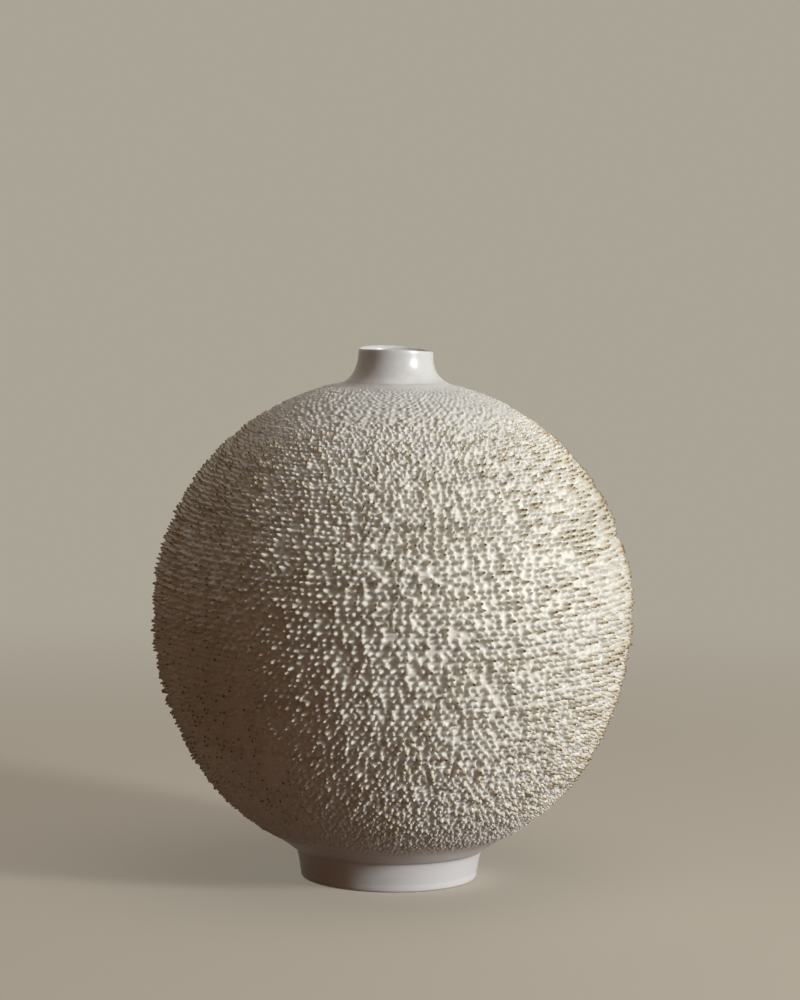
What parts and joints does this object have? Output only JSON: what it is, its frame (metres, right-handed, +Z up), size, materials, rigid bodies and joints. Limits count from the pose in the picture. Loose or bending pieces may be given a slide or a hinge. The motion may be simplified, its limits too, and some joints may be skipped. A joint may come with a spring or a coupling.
{
  "type": "moon jar",
  "caption": "Round porcelain jar luted from two thrown bowls, with a short narrow neck, a turned foot ring and a skin of small built-up slip spikes.",
  "frame": {"origin": "middle of the foot ring, on the surface that the jar stands on", "axes": "+Z up along the axis that the jar was thrown on; it is round, so X and Y are alike"},
  "size_m": [0.2998, 0.2998, 0.331],
  "materials": {
    "glaze": "clear glossy glaze over white porcelain",
    "slip": "fired porcelain slip",
    "spikes": "glossy glaze, iron brown where it thins over the tips"
  },
  "bodies": {
    "root": {"lower_bowl": "glaze", "upper_bowl": "glaze", "collar": "glaze", "foot_ring": "glaze", "belly_seam": "slip", "collar_seam": "slip", "foot_seam": "slip", "upper_belly_spikes": "spikes", "shoulder_spikes": "spikes", "collar_spikes": "spikes", "lower_belly_spikes": "spikes", "hip_spikes": "spikes", "foot_spikes": "spikes"}
  },
  "joints": []
}
